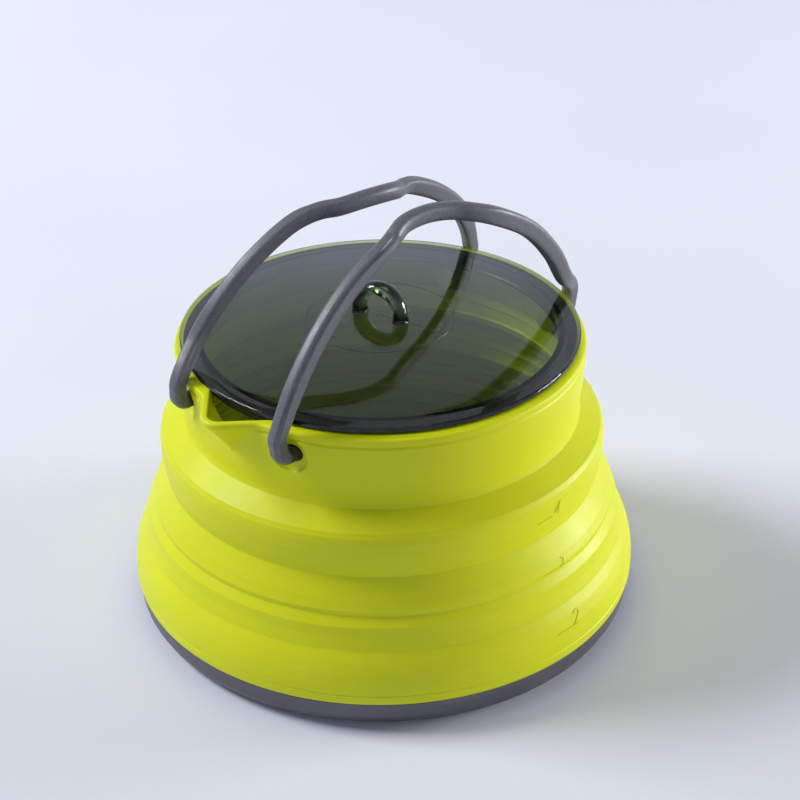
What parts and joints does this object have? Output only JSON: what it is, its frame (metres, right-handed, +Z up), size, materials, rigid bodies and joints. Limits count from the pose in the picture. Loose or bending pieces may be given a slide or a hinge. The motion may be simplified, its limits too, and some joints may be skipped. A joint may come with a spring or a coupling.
{
  "type": "collapsible kettle",
  "caption": "Folding camping kettle: flat metal pan, stepped silicone wall that folds down, V spout, clear seated lid with a loop, and two offset bail handles that fold outwards",
  "frame": {"origin": "centre of the flat underside of the pan, on the surface the kettle stands on", "axes": "+Z up along the kettle's axis, +X out of the spout, +Y to the left of someone who looks along +X"},
  "size_m": [0.184, 0.184, 0.1581],
  "materials": {
    "silicone_lime": "smooth matte lime silicone",
    "base_aluminium": "hard anodised, dark grey satin",
    "bail_grey": "satin moulded grey",
    "lid_smoke": "glossy smoked clear plastic",
    "seal_rubber": "matte dark rubber",
    "frame_nylon": "matte dark nylon"
  },
  "bodies": {
    "base": {"base_pan": "base_aluminium", "foot_band": "silicone_lime", "lower_web": "silicone_lime"},
    "lower_wall": {"lower_ring": "silicone_lime", "middle_web": "silicone_lime"},
    "upper_wall": {"upper_ring": "silicone_lime", "upper_web": "silicone_lime"},
    "top": {"collar": "silicone_lime", "rim_frame": "frame_nylon"},
    "lid": {"lid": "lid_smoke", "lid_seal": "seal_rubber"},
    "left_handle": {"left_bail": "bail_grey"},
    "right_handle": {"right_bail": "bail_grey"}
  },
  "joints": [
    {"name": "lower_fold", "type": "slide", "parent": "base", "child": "lower_wall", "axis": [0, 0, 1], "range_m": [-0.017, 0], "deforming": ["lower_web"]},
    {"name": "middle_fold", "type": "slide", "parent": "lower_wall", "child": "upper_wall", "axis": [0, 0, 1], "range_m": [-0.017, 0], "deforming": ["middle_web"]},
    {"name": "upper_fold", "type": "slide", "parent": "upper_wall", "child": "top", "axis": [0, 0, 1], "range_m": [-0.016, 0], "deforming": ["upper_web"]},
    {"name": "left_handle_fold", "type": "hinge", "parent": "top", "child": "left_handle", "pos_m": [0, 0.0255, 0.093], "axis": [1, 0, 0], "range_deg": [-78.1, 17.9]},
    {"name": "right_handle_fold", "type": "hinge", "parent": "top", "child": "right_handle", "pos_m": [0, -0.0255, 0.093], "axis": [-1, 0, 0], "range_deg": [-94.2, 1.8]},
    {"name": "lid_turn", "type": "hinge", "parent": "top", "child": "lid", "pos_m": [0, 0, 0.104], "axis": [0, 0, 1], "continuous": true}
  ],
  "couplings": [
    {"joint": "middle_fold", "follows": "lower_fold", "ratio": 1},
    {"joint": "upper_fold", "follows": "lower_fold", "ratio": 0.94118}
  ]
}
